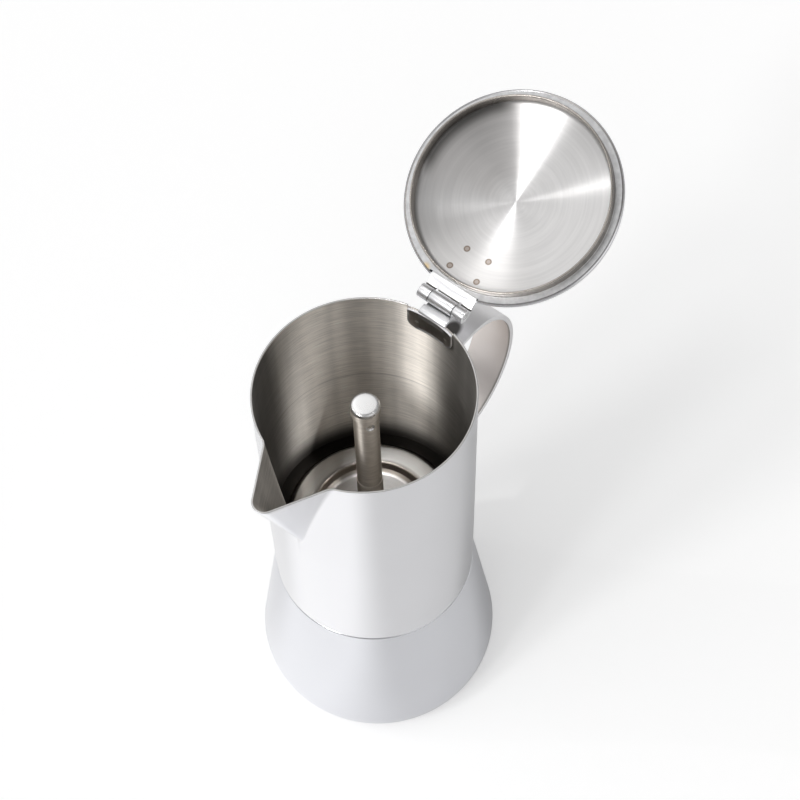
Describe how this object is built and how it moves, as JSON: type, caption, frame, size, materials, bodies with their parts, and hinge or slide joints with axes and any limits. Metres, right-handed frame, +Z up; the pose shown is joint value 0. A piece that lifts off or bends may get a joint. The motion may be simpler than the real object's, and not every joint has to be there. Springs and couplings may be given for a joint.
{
  "type": "moka pot",
  "caption": "Stovetop moka pot in polished steel: flared boiler, jug with pulled V spout, coffee column, hinged double lid and loop handle.",
  "frame": {"origin": "centre of the underside of the base", "axes": "+Z up the axis of boiler and jug; spout towards -X, handle and lid hinge towards +X, safety valve towards +Y"},
  "size_m": [0.1942, 0.1057, 0.2579],
  "materials": {
    "polished_steel": "polished stainless steel outside, brushed round inside",
    "aluminium_core": "plain",
    "base_steel": "turned",
    "satin_steel": "satin",
    "filter_steel": "satin",
    "silicone": "smooth silicone",
    "inner_steel": "pressed, softly turned",
    "column_steel": "satin",
    "cap_steel": "polished",
    "handle_steel": "polished outside, brushed inside",
    "hinge_steel": "polished",
    "pin_steel": "bright drawn",
    "turned_steel": "turned in fine rings",
    "washer_silicone": "smooth silicone",
    "valve_brass": "bright"
  },
  "bodies": {
    "boiler": {"boiler_shell": "polished_steel", "base_core": "aluminium_core", "base_cap": "base_steel", "valve_nut": "satin_steel", "valve_washer": "washer_silicone", "valve_body": "valve_brass", "valve_ring": "pin_steel", "valve_spring": "pin_steel"},
    "valve": {"valve_pin": "valve_brass"},
    "funnel": {"funnel_basket": "satin_steel", "funnel_stem": "satin_steel", "funnel_screen": "filter_steel"},
    "filter_stack": {"gasket": "silicone", "filter_plate": "filter_steel"},
    "jug": {"jug_body": "polished_steel", "jug_collar": "satin_steel", "jug_floor": "inner_steel", "column_stub": "column_steel", "column_tube": "column_steel", "column_cap": "cap_steel", "handle_band": "handle_steel", "hinge_bracket": "hinge_steel", "hinge_pin": "pin_steel"},
    "lid": {"lid_shell": "polished_steel", "lid_pan": "turned_steel", "lid_leaf": "hinge_steel"}
  },
  "joints": [
    {"name": "jug_lift", "type": "slide", "parent": "boiler", "child": "filter_stack", "axis": [0, 0, 1], "range_m": [0, 0.18]},
    {"name": "jug_turn", "type": "hinge", "parent": "filter_stack", "child": "jug", "pos_m": [0, 0, 0.1], "axis": [0, 0, 1], "range_deg": [0, 360]},
    {"name": "funnel_lift", "type": "slide", "parent": "boiler", "child": "funnel", "axis": [0, 0, 1], "range_m": [0, 0.108]},
    {"name": "lid_hinge", "type": "hinge", "parent": "jug", "child": "lid", "pos_m": [0.0483, 0, 0.2167], "axis": [0, -1, 0], "range_deg": [0, 156]},
    {"name": "valve_travel", "type": "slide", "parent": "boiler", "child": "valve", "axis": [0, 0.9888, 0.1494], "range_m": [0, 0.0012], "stiffness_N_per_m": 1500, "springref_m": -0.001, "deforming": ["valve_spring"]}
  ],
  "couplings": [
    {"joint": "funnel_lift", "follows": "jug_lift", "ratio": 0.6}
  ]
}
